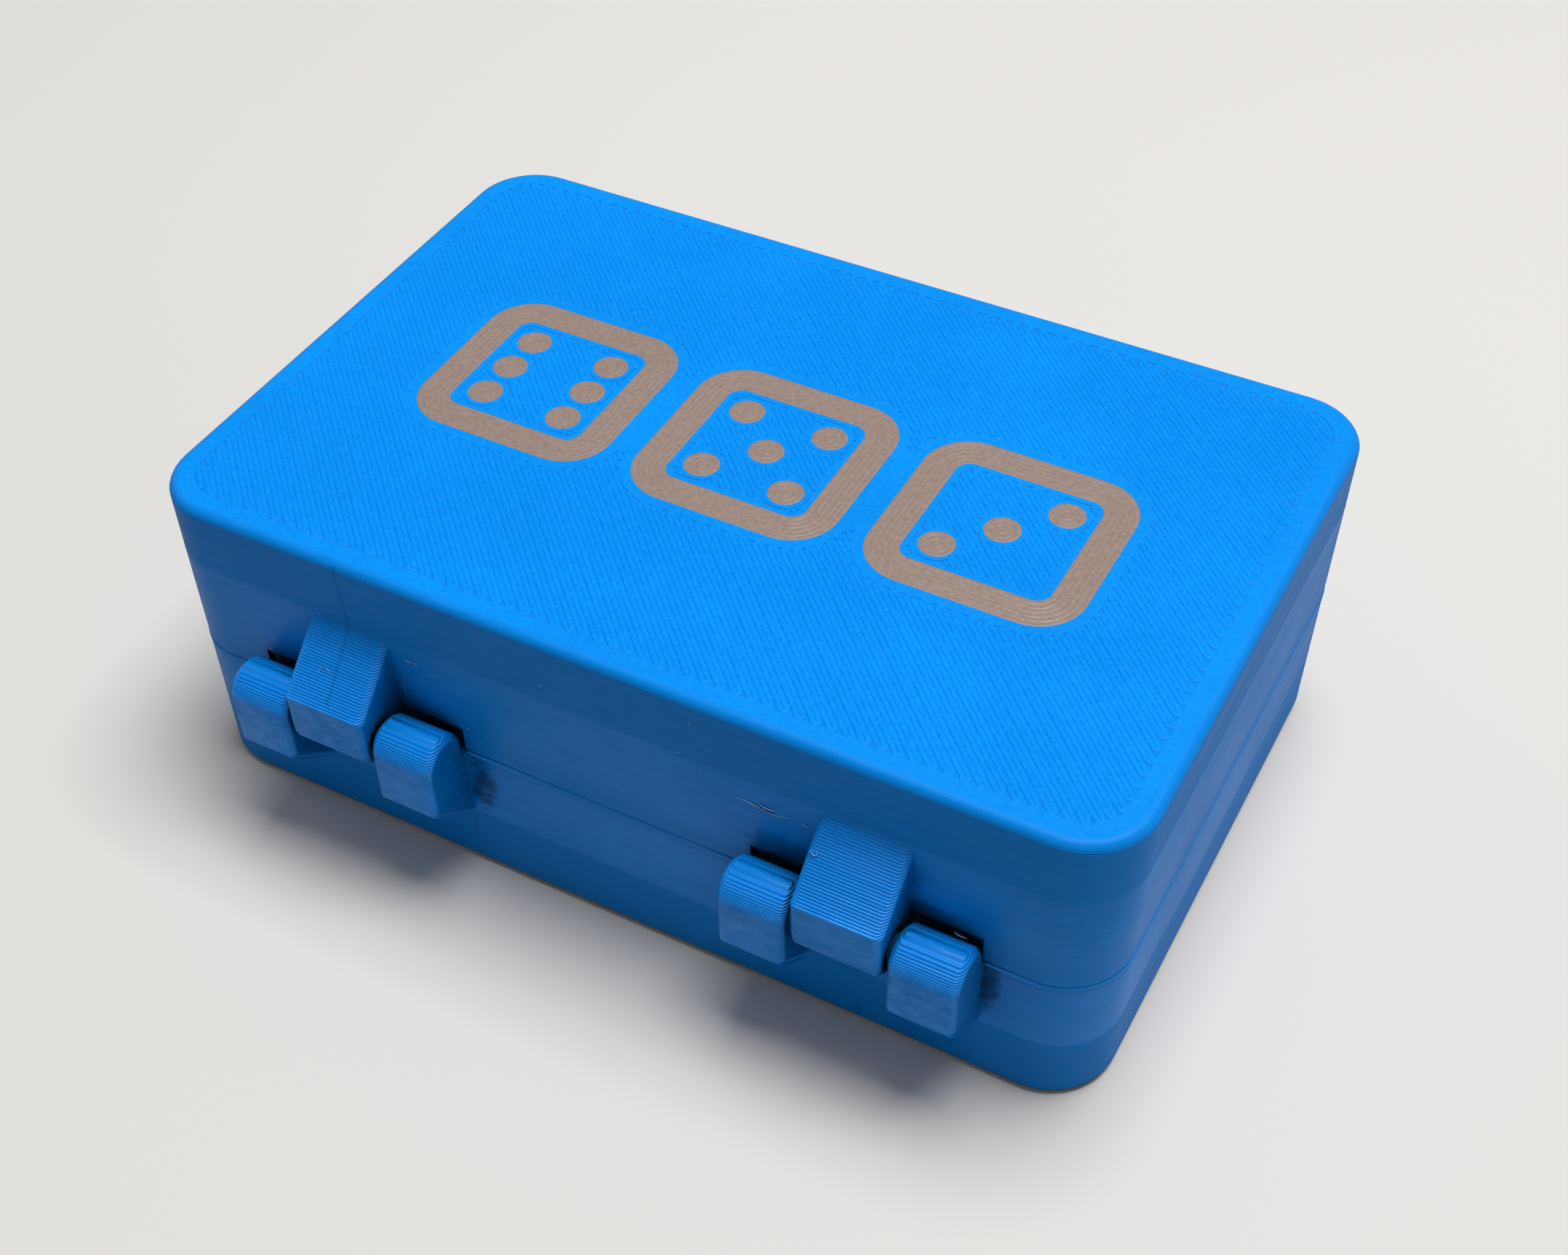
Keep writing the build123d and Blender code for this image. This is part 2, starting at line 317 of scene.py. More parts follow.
class Cutter:
    """Cuts a mesh of convex faces at a ladder of heights, keeping it closed."""

    def __init__(self, points, faces, parents):
        self.points = [tuple(point) for point in points]
        self.faces, self.parents = faces, parents

    def cut(self, axis, heights):
        """Cuts every face that crosses one of the heights along an axis."""
        heights = np.asarray(heights)
        along = np.array([point[axis] for point in self.points])
        below = np.searchsorted(heights, along - TOUCH)
        on = np.abs(heights[np.minimum(below, len(heights) - 1)] - along) <= TOUCH
        # a point's rung is odd on a height and even between two of them
        rungs = (2 * below + on).tolist()
        made = {}
        faces, parents = [], []
        for face, parent in zip(self.faces, self.parents):
            spots = [rungs[i] for i in face]
            low, high = min(spots), max(spots)
            if high - low < 2:
                faces.append(face)
                parents.append(parent)
                continue
            shelves = {}
            for i, j in zip(face, face[1:] + face[:1]):
                self._shelve(shelves, i, rungs[i])
                step = 1 if rungs[j] > rungs[i] else -1
                for rung in range(rungs[i] + step, rungs[j], step):
                    if rung % 2:
                        crossing = self._crossing(made, i, j, axis, rung // 2, heights)
                        self._shelve(shelves, crossing, rung)
            for shelf in shelves.values():
                if len(shelf) > 2:
                    faces.append(shelf)
                    parents.append(parent)
        self.faces, self.parents = faces, parents

    @staticmethod
    def _shelve(shelves, point, rung):
        """Adds a point to the shelf between two heights, or to both where it lies on a height."""
        for shelf in {rung // 2, (rung + 1) // 2}:
            shelves.setdefault(shelf, []).append(point)

    def _crossing(self, made, i, j, axis, k, heights):
        """Builds the box and its stage; the CAD parts that are rebuilt stay in the scene, hidden.
        """
        key = (min(i, j), max(i, j), k)
        if key not in made:
            a, b = self.points[key[0]], self.points[key[1]]
            share = (heights[k] - a[axis]) / (b[axis] - a[axis])
            made[key] = len(self.points)
            self.points.append(tuple(p + share * (q - p) for p, q in zip(a, b)))
        return made[key]


def outer_wall():
    """How far the hinge wall's outer face lies from the middle, as far as the lid's front wall."""
    return -in_mm("lid")[0][1]


def cad_mesh(node):
    """The points, in millimetres, and the triangles of a CAD node, doubled points joined."""
    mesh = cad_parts[node].data
    mesh.calc_loop_triangles()
    points = np.array([vertex.co for vertex in mesh.vertices], float) / MM
    triangles = np.array([triangle.vertices for triangle in mesh.loop_triangles])
    points, where = np.unique(np.round(points, 5), axis=0, return_inverse=True)
    triangles = where.reshape(-1)[triangles]
    whole = (np.diff(np.sort(triangles, axis=1), axis=1) > 0).all(axis=1)
    return points, triangles[whole]


def with_short_hollows(points, wall_y):
    """The points with the ends of the hollows behind the tray's knuckles moved inwards."""
    x, y, z = points.T
    hollow = (y > wall_y - SHORT_DEPTH) & (y < wall_y + NEARBY) & (z < SHORT_TOP)
    for end, moved in SHORT_HOLLOWS:
        points[(np.abs(x - end) < NEARBY) & hollow, 0] = moved
    return points


def with_rounded_knuckles(points, triangles, wall_y, rounding):
    """Rounds both edges of the chamfers along the knuckles' sides, and gives triangles back."""
    work = bmesh.new()
    corners = [work.verts.new(point) for point in points]
    for triangle in triangles.tolist():
        work.faces.new([corners[i] for i in triangle])
    work.normal_update()
    outside = [edge for edge in work.edges if max(v.co.y for v in edge.verts) > wall_y + TOUCH]
    bmesh.ops.dissolve_limit(
        work,
        angle_limit=math.radians(0.5),
        verts=list({v for edge in outside for v in edge.verts}),
        edges=outside,
    )

    def slanted(face):
        """Whether a face stands at about 45 degrees to the knuckle's sides."""
        return 0.6 < abs(face.normal.x) < 0.8

    bevelled = [
        edge
        for edge in work.edges
        if len(edge.link_faces) == 2
        and slanted(edge.link_faces[0]) != slanted(edge.link_faces[1])
        and min(v.co.y for v in edge.verts) > wall_y - NEARBY
        and max(v.co.y for v in edge.verts) > wall_y + 0.5
        and 0.5 < edge.calc_face_angle(0) < 1.0
    ]
    bmesh.ops.bevel(
        work,
        geom=bevelled,
        offset=rounding,
        offset_type="OFFSET",
        segments=2,
        profile=0.5,
        affect="EDGES",
        clamp_overlap=True,
    )
    bmesh.ops.triangulate(work, faces=work.faces)
    work.verts.index_update()
    points = np.array([tuple(v.co) for v in work.verts])
    triangles = np.array([[v.index for v in face.verts] for face in work.faces])
    work.free()
    return points, triangles


def square_to(points, triangles):
    """The unit normals of triangles."""
    sides = points[triangles]
    normals = np.cross(sides[:, 1] - sides[:, 0], sides[:, 2] - sides[:, 0])
    return normals / np.maximum(np.linalg.norm(normals, axis=1, keepdims=True), 1e-12)


def in_pairs(points, triangles, normals):
    """Flat triangles joined two by two to convex faces, and the triangle each face came from."""
    owners = {}
    for t, triangle in enumerate(triangles.tolist()):
        for k in range(3):
            i, j = triangle[k], triangle[(k + 1) % 3]
            owners.setdefault((min(i, j), max(i, j)), []).append((t, k))
    shared = [pair for pair in owners.values() if len(pair) == 2]
    spans = np.array([(triangles[t, k], triangles[t, (k + 1) % 3]) for (t, k), _ in shared])
    reach = np.linalg.norm(points[spans[:, 0]] - points[spans[:, 1]], axis=1)
    taken = [False] * len(triangles)
    faces, parents = [], []
    for place in np.argsort(-reach):
        (a, k), (b, m) = shared[place]
        if taken[a] or taken[b] or normals[a] @ normals[b] < 1 - 1e-7:
            continue
        i, j, far = triangles[a, k], triangles[a, (k + 1) % 3], triangles[a, (k + 2) % 3]
        near = triangles[b, (m + 2) % 3]
        face = [i, near, j, far]
        ring = points[face]
        ahead = np.roll(ring, -1, axis=0) - ring
        turns = np.cross(np.roll(ahead, 1, axis=0), ahead) @ normals[a]
        if turns.min() > 1e-7:
            taken[a] = taken[b] = True
            faces.append([int(corner) for corner in face])
            parents.append(a)
    for t, triangle in enumerate(triangles.tolist()):
        if not taken[t]:
            faces.append(triangle)
            parents.append(t)
    return faces, parents


def swelling(points, bed, sizes):
    """How far a rounding of the edge at the bed stands out from the chamfer, at each point."""
    share = np.clip(1 - np.abs(points[:, 2] - bed) / sizes.edge, 0, 1)
    on_edge = outside_rectangle(points[:, :2], *outer_outline(sizes)) > -0.05
    return on_edge * sizes.edge * (share - 1 + np.sqrt(1 - share**2))


def layered(node, bed, sizes, seed, flats):
    """A node's mesh as printed layers that are counted from the bed's height.

    Each layer takes the outline at its middle, with a rounded edge. The layers of the bevel at the
    bed run into each other. flats maps the height of a level surface that laid lines will cover to
    the height that the surface is lowered or raised to.
    """
    step = sizes.layer
    points, triangles = cad_mesh(node)
    wall_y = outer_wall()
    if node == "lid":
        points = with_short_hollows(points, wall_y)
    points, triangles = with_rounded_knuckles(points, triangles, wall_y, sizes.rounding)
    normals = square_to(points, triangles)

    low, high = points[:, 2].min(), points[:, 2].max()
    first = math.floor((low - bed) / step + 0.5) - 1
    last = math.ceil((high - bed) / step - 0.5) + 1
    middles = bed + (np.arange(first, last + 1) + 0.5) * step
    # across a layer: where the outline is cut, where the cut goes and how round the edge is there
    rungs = np.array([-0.5, -0.3, 0.3, 0.5])
    bulge = np.array([0.3, 0.0, 0.0, 1.0])
    merged = np.abs(middles - bed) < sizes.merged_layers * step

    def spread(share):
        """The heights of all rungs, over a share of the height of each layer that isn't merged."""
        shares = np.where(merged, MERGED_HEIGHT, share)
        return (middles[:, None] + rungs * shares[:, None] * step).ravel()

    knots, snapped = spread(0.3), spread(1.0)
    random = np.random.default_rng(seed)
    stand = random.uniform(0, sizes.wander, len(middles)) * np.where(merged, MERGED_WANDER, 1)
    proud = np.zeros(len(middles))
    for height, amount in PROUD[node].items():
        proud[np.abs(middles - height).argmin()] = amount
    stand, proud = (np.repeat(each, len(rungs)) for each in (stand, proud))
    smooth = np.abs(middles - bed) < sizes.smooth_layers * step
    roundness = np.where(smooth, SMOOTH_BULGE, np.where(merged, MERGED_BULGE, 1))
    bulge = (bulge * roundness[:, None]).ravel()

    faces, parents = in_pairs(points, triangles, normals)
    cutter = Cutter(points, faces, parents)
    grooves = in_mm("base_tray")[1][1] - np.array(RUTS)[::-1]
    half = sizes.shoulder / 2
    cutter.cut(1, np.stack([grooves - half, grooves, grooves + half], axis=1).ravel())
    cutter.cut(2, knots[(knots > low + TOUCH) & (knots < high - TOUCH)])
    points = np.array(cutter.points)
    before = points.copy()

    # the way into the plastic at each point, square to every steep face that meets there
    steep = np.hypot(normals[:, 0], normals[:, 1])
    corners = np.concatenate([np.array(face) for face in cutter.faces])
    owners = np.repeat(cutter.parents, [len(face) for face in cutter.faces])
    kept = steep[owners] > STEEP
    flat = (normals[owners[kept], :2].T / steep[owners[kept]]).T
    pull = np.zeros((len(points), 2, 2))
    push = np.zeros((len(points), 2))
    np.add.at(pull, corners[kept], flat[:, :, None] * flat[:, None, :])
    np.add.at(push, corners[kept], flat)
    inward = -np.linalg.solve(pull + 1e-3 * np.eye(2), push[:, :, None])[:, :, 0]
    reach = np.maximum(np.linalg.norm(inward, axis=1, keepdims=True) / MITRE, 1)

    # a slope's layers have rounder edges than an upright wall's
    lean = np.zeros(len(points))
    np.maximum.at(lean, corners[kept], np.abs(normals[owners[kept], 2]))
    depth = np.interp(lean, (0.05, 0.5), (sizes.bead_depth, sizes.rib_depth))

    level = np.zeros(len(points), bool)
    level[corners[np.abs(normals[owners, 2]) > LEVEL]] = True
    heights = points[:, 2].copy()
    inset = np.interp(heights, knots, stand) + depth * np.interp(heights, knots, bulge)
    on_box = points[:, 1] < wall_y + NEARBY
    inset -= on_box * np.interp(heights, knots, proud) + swelling(points, bed, sizes)
    points[:, :2] += inward / reach * inset[:, None]
    points[:, 2] = np.interp(heights, knots, snapped)
    for height, moved in flats.items():
        points[level & (np.abs(heights - height) < FLUSH), 2] = moved

    # the grooves between the lines along a knuckle's top
    facing = np.zeros(len(points))
    crown = np.abs(normals[owners, 2]) > CROWN
    facing[corners[crown]] = np.sign(normals[owners[crown], 2])
    rutted = (np.abs(before[:, 1, None] - grooves) < TOUCH).any(axis=1)
    points[rutted, 2] -= facing[rutted] * sizes.rut
    return points, cutter.faces


# ---------------------------------------------------------------- laid lines


def rounded_rectangle(size, radius, centre=(0.0, 0.0), steps=9):
    """A closed path round a rectangle with rounded corners, anticlockwise."""
    turns = np.linspace(0, math.pi / 2, steps)
    if radius < LEAST_RADIUS:
        radius, turns = 0.0, turns[:1]
    path = []
    for quarter, signs in enumerate(((1, 1), (-1, 1), (-1, -1), (1, -1))):
        middle = np.array(centre) + (np.array(size) / 2 - radius) * signs
        for turn in turns + quarter * math.pi / 2:
            path.append(middle + radius * np.array([math.cos(turn), math.sin(turn)]))
    return np.array(path)


def tube(count, ring, start=0, closed=False, flipped=False):
    """The faces of a solid made of rings of points, which runs in a loop if it is closed."""
    faces = []
    for i in range(count if closed else count - 1):
        a, b = start + i * ring, start + (i + 1) % count * ring
        for j in range(ring):
            k = (j + 1) % ring
            faces.append([a + j, b + j, b + k, a + k])
    if not closed:
        last = start + (count - 1) * ring
        faces += [list(range(start, start + ring)), list(range(last, last + ring))[::-1]]
    return [face[::-1] for face in faces] if flipped else faces


def insets(size, radius, centre=(0.0, 0.0)):
    """The path round a rounded rectangle, as a function of how far inside it the path lies."""
    return lambda inset: rounded_rectangle(size - 2 * inset, radius - inset, centre)


def circle(radius, centre, steps=28):
    """A closed path round a circle, anticlockwise."""
    turns = np.arange(steps) / steps * 2 * math.pi
    return np.array(centre) + radius * np.stack([np.cos(turns), np.sin(turns)], axis=1)


def outside_rectangle(spots, size, radius, centre=(0.0, 0.0)):
    """How far spots lie outside a rounded rectangle, with a minus sign inside it."""
    past = np.abs(spots - centre) - np.array(size) / 2 + radius
    return np.linalg.norm(np.maximum(past, 0), axis=1) + np.minimum(past.max(axis=1), 0) - radius


def outside_circle(spots, radius, centre):
    """How far spots lie outside a circle, with a minus sign inside it."""
    return np.linalg.norm(spots - centre, axis=1) - radius


class Lines:
    """Laid lines of plastic on a level surface, each one a closed solid."""

    def __init__(self, top, sizes, up=1, depth=None, loop_groove=None):
        self.top, self.sizes, self.up = top, sizes, up
        self.loop_groove = loop_groove or sizes.loop_groove
        self.depth = depth or LINE_DEPTH * sizes.groove
        self.sink = 0.0
        self.random = np.random.default_rng(1)
        self.points, self.faces = [], []

    def lay(self, path, width, closed, drops=None):
        """One line along a path; drops are the depths of its grooves, on the right and the left."""
        path = np.asarray(path, float)
        ahead = np.roll(path, -1, axis=0) - path
        if not closed:
            ahead[-1] = ahead[-2]
        ahead /= np.linalg.norm(ahead, axis=1, keepdims=True)
        behind = np.roll(ahead, 1, axis=0)
        if not closed:
            behind[0] = ahead[0]
        left, right = (np.stack([-way[:, 1], way[:, 0]], axis=1) for way in (ahead, behind))
        turn = 1 + (left * right).sum(axis=1, keepdims=True)
        square = (left + right) / np.maximum(turn, SHARPEST)

        edge = width / 2 + self.sizes.wobble
        inner = max(edge - self.sizes.shoulder, LEAST_FLAT * edge)
        first, second = drops or (self.loop_groove, self.loop_groove)
        across = (-edge, -inner, inner, edge, edge, -edge)
        drop = (first, 0, 0, second, self.depth, self.depth)
        self.faces += tube(len(path), len(across), len(self.points), closed, self.up > 0)
        for spot, way in zip(path, square):
            for side, down in zip(across, drop):
                self.points.append((*(spot + side * way), self.top - self.up * (down + self.sink)))

    def stray(self, path):
        """The path with points added along its long runs, and all of them a little off it."""
        spots = [path[0]]
        for spot in path[1:]:
            begin, gap = spots[-1], spot - spots[-1]
            pieces = max(int(np.linalg.norm(gap) / STRAY_STEP), 1)
            spots += [begin + gap * k / pieces for k in range(1, pieces + 1)]
        wobble = self.sizes.wobble
        off = self.random.normal(0, wobble / 2, (len(spots), 2))
        return np.array(spots) + off.clip(-wobble, wobble)

    def loops(self, outline, number, width, inward=True, over=0.0):
        """Lines that follow an outline; outline(inset) gives the path at an inset.

        over is how far the first line reaches over the outline, and less than 0 short of a wall.
        """
        for k in range(number):
            inset = (k + 0.5) * width - over
            outer = self.sizes.groove if over < 0 and not k else self.loop_groove
            path = outline(inset if inward else -inset)
            self.lay(path, width, True, (outer, self.loop_groove))

    def mesh(self):
        """The points and the faces of all lines so far."""
        return self.points, self.faces

    def fill(self, outside, reach, width, slant):
        """Lines back and forth at 45 degrees, wherever outside(spots) is under zero."""
        self.sink = FILL_SINK
        along = np.array([-1.0, slant]) / math.sqrt(2)
        across = np.array([slant, 1.0]) / math.sqrt(2)
        number = int(reach / width)
        tests = np.arange(-reach, reach, width / LANE_TESTS)

        def stretches(offset, clear):
            """Where a lane that lies at an offset begins and ends, one or more times."""
            spots = offset * across + tests[:, None] * along
            inside = np.concatenate([[False], outside(spots) < -clear, [False]])
            edges = np.flatnonzero(inside[1:] != inside[:-1])
            pairs = [(a, b) for a, b in edges.reshape(-1, 2) if b - a > SHORTEST_LANE]
            return [(tests[a], tests[b - 1]) for a, b in pairs]

        overlap = self.sizes.overlap
        lanes = {i: stretches(i * width, width / 2 - overlap) for i in range(-number, number + 1)}
        links = {}
        for i in range(-number, number):
            end = i % 2  # the neighbours i and i + 1 are joined at one end only
            for groove in stretches((i + 0.5) * width, width - overlap):
                here = self._nearest(lanes[i], end, groove[end], width)
                there = self._nearest(lanes[i + 1], end, groove[end], width)
                if here is not None and there is not None:
                    links.setdefault((i, here, end), (i + 1, there, groove[end]))
                    links.setdefault((i + 1, there, end), (i, here, groove[end]))
        used = set()
        for lonely in (True, False):
            for i, lane in lanes.items():
                for m in range(len(lane)):
                    free = [end for end in (0, 1) if (i, m, end) not in links]
                    if (i, m) in used or (lonely and not free):
                        continue
                    start = free[0] if free else 0
                    path = self._walk(lanes, links, used, i, m, start, width)
                    spots = np.array([s * along + t * across for s, t in path])
                    drops = (self.sizes.groove, self.sizes.pair_groove)
                    if (i % 2 == 0) == (start == 1):
                        drops = drops[::-1]
                    self.lay(self.stray(spots), width, False, drops)

    @staticmethod
    def _nearest(lane, end, place, width):
        """The stretch of a lane whose end lies nearest to a place, if one is near enough."""
        near = [(abs(stretch[end] - place), m) for m, stretch in enumerate(lane)]
        near = [pair for pair in near if pair[0] < TURN_REACH * width]
        return min(near)[1] if near else None

    @staticmethod
    def _walk(lanes, links, used, i, m, end, width):
        """The path through joined lines, as (place along, place across) pairs."""
        path = [(lanes[i][m][end], i * width)]
        while (i, m) not in used:
            used.add((i, m))
            end = 1 - end
            link = links.get((i, m, end))
            if link is None or link[:2] in used:
                path.append((lanes[i][m][end], i * width))
                break
            j, n, pivot = link
            sign, bulge = j - i, 1 if end else -1
            for turn in np.linspace(0, math.pi, 8):
                s = pivot + bulge * width / 2 * math.sin(turn)
                path.append((s, (i + sign / 2) * width - sign * width / 2 * math.cos(turn)))
            i, m = j, n
        return path


# ---------------------------------------------------------------- materials


def overload(operation):
    """An operator on values and its reflected form, each of them a Math node."""

    def plain(value, other):
        return value.math(operation, value, other)

    def reflected(value, other):
        return value.math(operation, other, value)

    return plain, reflected


class Value:
    """A shader socket that takes part in Python expressions."""

    def __init__(self, finish, socket):
        self.finish, self.socket = finish, socket

    def math(self, operation, first, second):
        """A Math node on two values or numbers."""
        return self.finish.node("ShaderNodeMath", {"operation": operation}, {0: first, 1: second})

    __add__, __radd__ = overload("ADD")
    __sub__, __rsub__ = overload("SUBTRACT")
    __mul__, __rmul__ = overload("MULTIPLY")
    __truediv__, __rtruediv__ = overload("DIVIDE")
    __pow__, __rpow__ = overload("POWER")


class Finish:
    """A material whose nodes are added by method calls and by expressions on values."""

    def __init__(self, name, **constants):
        self.material = bpy.data.materials.new(name)
        self.material.use_nodes = True
        self.tree = self.material.node_tree
        self.shader = self.tree.nodes["Principled BSDF"]
        for socket, value in constants.items():
            self.shader.inputs[socket.replace("_", " ")].default_value = value

    def node(self, kind, settings=None, inputs=None, output=0):
        """Adds a node of a type, sets it up, fills its sockets and gives one of its outputs."""
        made = self.tree.nodes.new(kind)
        for name, value in (settings or {}).items():
            if name == "stops":
                self._stops(made.color_ramp, value)
            else:
                setattr(made, name, value)
        for name, value in (inputs or {}).items():
            self.feed(made.inputs[name], value)
        return Value(self, made.outputs[output])

    @staticmethod
    def _stops(ramp, stops):
        while len(ramp.elements) < len(stops):
            ramp.elements.new(0.5)
        for element, (place, level) in zip(ramp.elements, stops, strict=True):
            element.position = place
            element.color = (level, level, level, 1)

    def feed(self, socket, value):
        """Links a value to a socket, or sets a plain number, vector or colour on it."""
        if isinstance(value, Value):
            self.tree.links.new(value.socket, socket)
        else:
            socket.default_value = value

    def give(self, **values):
        """Feeds values to the shader's sockets."""
        for socket, value in values.items():
            self.feed(self.shader.inputs[socket.replace("_", " ")], value)

    def place(self):
        """Object coordinates in millimetres."""
        metres = self.node("ShaderNodeTexCoord", output="Object")
        inputs = {0: metres, "Scale": 1 / MM}
        return self.node("ShaderNodeVectorMath", {"operation": "SCALE"}, inputs)

    def split(self, vector):
        """The X, Y and Z of a vector."""
        return [self.node("ShaderNodeSeparateXYZ", None, {0: vector}, axis) for axis in "XYZ"]

    def noise(self, place, scale, detail=2.0, stretch=(1, 1, 1)):
        """A noise between 0 and 1, with features about 1/scale wide."""
        inputs = {0: place, 1: stretch}
        stretched = self.node("ShaderNodeVectorMath", {"operation": "MULTIPLY"}, inputs)
        inputs = {"Vector": stretched, "Scale": scale, "Detail": detail}
        return self.node("ShaderNodeTexNoise", None, inputs)

    def between(self, value, low, high, to_low=0.0, to_high=1.0):
        """A value's share of the way from low to high, held to that range."""
        inputs = {0: value, 1: low, 2: high, 3: to_low, 4: to_high}
        return self.node("ShaderNodeMapRange", {"clamp": True}, inputs)

    def near(self, value, middle, away, full):
        """0 where a value is `away` or more from a middle, up to 1 where it is `full` from it."""
        return self.between((value - middle) ** 2, away**2, full**2)

    def blend(self, share, first, second):
        """A mix of two colours."""
        inputs = {0: share, 6: first, 7: second}
        return self.node("ShaderNodeMix", {"data_type": "RGBA"}, inputs, 2)

    def shades(self, share, colour, dark, light):
        """A colour between a dark and a light shade of itself."""
        return self.blend(share, rgba(colour, dark), rgba(colour, light))

    def bump(self, height, distance, strength=1.0):
        """A bumped normal from a height in millimetres."""
        inputs = {"Height": height, "Distance": distance * MM, "Strength": strength}
        return self.node("ShaderNodeBump", None, inputs)


def rgba(colour, level=1.0):
    """A colour at a level of brightness, as a socket takes it."""
    return tuple(min(part * level, 1.0) for part in colour) + (1.0,)


def openness(finish):
    """1 on open surfaces, falling to 0 where other surfaces stand close around; it sets where shade
    is painted into crevices.
    """
    reach = {"Distance": CREVICE_REACH * MM}
    open_share = finish.node("ShaderNodeAmbientOcclusion", {"samples": 8}, reach, "AO")
    return finish.between(open_share, *OPEN_SHARE)


def knuckle_sides(finish, y):
    """1 on the sides of the knuckles, where shade is painted, and 0 elsewhere."""
    across = finish.split(finish.node("ShaderNodeTexCoord", output="Normal"))[0]
    return finish.between(across * across, 0.5, 0.9) * finish.between(y, *OFF_WALL)


def wall_hollows(finish, x, y, z):
    """1 in the hollows of the hinge wall, where dark shade is painted, and 0 elsewhere."""
    inside, short = (finish.between(y, *band) for band in IN_HOLLOWS)
    near_axis = finish.near(z, AXIS_HEIGHT, *NEAR_AXIS)
    off_rims = finish.near(z, RIM_HEIGHT, *OFF_RIMS)
    return inside * short * near_axis * off_rims * finish.near(x, 0.0, *NEAR_MIDDLE)


def wall_smudges(finish, place, x, y, z):
    """Painted light and shade on the hinge wall: over 0 where highlight and sheen are painted,
    under 0 where shade is painted.
    """
    ragged = (finish.noise(place, 0.7, 3.0, (1, 1, 2.5)) - 0.5) * 3.0
    total = 0.0
    for middle, height, half_width, half_height, tone in LIGHT_AND_SHADE_PATCHES:
        away = ((x - middle) / half_width) ** 2 + ((z - height) / half_height) ** 2
        total = total + finish.between(away + ragged, 1.4, 0.2) * tone
    from_inside, from_outside = (finish.between(y, *band) for band in ON_WALL)
    return total * from_inside * from_outside


def layer_seams(finish, place, x, y, z):
    """Where layers begin and end: 1 in the middle of a seam and 0 away from it."""
    shake = (finish.noise(place, 1.0, 1.0, (0.3, 0.3, 5.0)) - 0.5) * 0.2
    total = 0.0
    for top_x, low_x, top, low, width in SEAMS:
        slant = (top_x - low_x) / (top - low)
        off = x + shake - (z - low) * slant - low_x
        near = finish.between((off * off) ** 0.5, width, width * 0.3)
        tall = finish.between(z, low, low + 0.4) - finish.between(z, top - 0.4, top)
        total = total + near * tall
    return total * finish.between(y, 0.0, 1.0)


def blue_walls(scene):
    """Blue plastic seen from the side of its layers, with zones of sheen and streaks along them,
    and with painted sheen, highlights and shade.
    """
    colours = scene.dice_box_finish
    finish = Finish("blue_walls", Specular_IOR_Level=0.12, Coat_Roughness=0.3)
    place = finish.place()
    x, y, z = finish.split(place)
    mottles = finish.between(finish.noise(place, 0.7, 3.0, (1, 1, 1.6)), 0.35, 0.65)
    faces = finish.between(y, *KNUCKLE_FACES) * mottles
    layers = MM / scene.dice_box_print.layer
    streaks = finish.noise(place, 1.0, 2.0, (0.16, 0.16, layers))
    bands = finish.noise(place, 1.0, 2.0, (0.03, 0.03, 0.9))
    blotches = finish.noise(place, 0.06, 2.0)
    stops = [(height / TALL, level) for height, level in SHEEN_ZONES]
    zones = finish.node("ShaderNodeValToRGB", {"stops": stops}, {0: z / TALL})
    sheen = zones * finish.between(blotches, 0.3, 0.7, 0.5, 1.2)
    # painted light and shade: darker patches go towards the shade colour, lighter ones lighten the
    # colour and add coat
    light_and_shade = wall_smudges(finish, place, x, y, z)
    lighter, darker = finish.between(light_and_shade, 0.0, 1.0), finish.between(light_and_shade, 0.0, -1.0)
    seams = layer_seams(finish, place, x, y, z)
    # painted shade on the knuckles' sides: their colour goes partway towards the shade colour and
    # they lose their coat
    sides = knuckle_sides(finish, y)

    # the tone lightens the colour at random along the layers, and as painted sheen in the shiny
    # zones, on the knuckles' faces and in the painted light patches
    tone = sheen * (streaks * 0.6 + 0.2) + streaks * 0.25 + bands * 0.35 + faces * 0.3
    tone = tone + lighter * (streaks + 0.5)
    colour = finish.shades(finish.between(tone, 0.25, 0.95), colours.blue, 0.84, 1.18)
    colour = finish.blend(seams * 0.35, colour, rgba(colours.blue, 0.4))
    # painted shade: lit falls in crevices, in the hollows and on the knuckles' sides, where the
    # colour goes towards the shade colour
    lit = openness(finish) * (1 - wall_hollows(finish, x, y, z)) * (1 - sides * 0.45)
    lit = finish.between(lit + lighter * 0.7 - darker, 0.0, 1.0)
    coat = finish.between(sheen + streaks, 0.5, 1.6, 0.0, 0.56)
    coat = coat + faces * 0.4 + lighter * streaks * 0.6
    # the base colour carries the painted shade and light; the coat is also weakened where shade is
    # painted
    finish.give(
        Base_Color=finish.blend(lit, rgba(colours.deep), colour),
        Roughness=finish.between(streaks + bands, 0.8, 1.2, 0.36, 0.54),
        Coat_Weight=coat * lit * finish.between(z, *BELOW_EDGE) * (1 - sides),
        Normal=finish.bump(streaks * 0.3 - seams, 0.06, 0.6),
    )
    return finish.material


def blue_flats(scene):
    """Blue plastic as laid lines on a level surface."""
    finish = Finish("blue_flats", Specular_IOR_Level=0.06)
    place = finish.place()
    blotches = finish.noise(place, 0.08, 3.0)
    grain = finish.noise(place, 2.6, 3.0)
    share = finish.between(blotches * 0.4 + grain * 0.6, 0.36, 0.64)
    finish.give(
        Base_Color=finish.shades(share, scene.dice_box_finish.blue, 0.85, 1.03),
        Roughness=finish.between(grain, 0.35, 0.65, 0.42, 0.56),
        Normal=finish.bump(grain, 0.05),
    )
    return finish.material


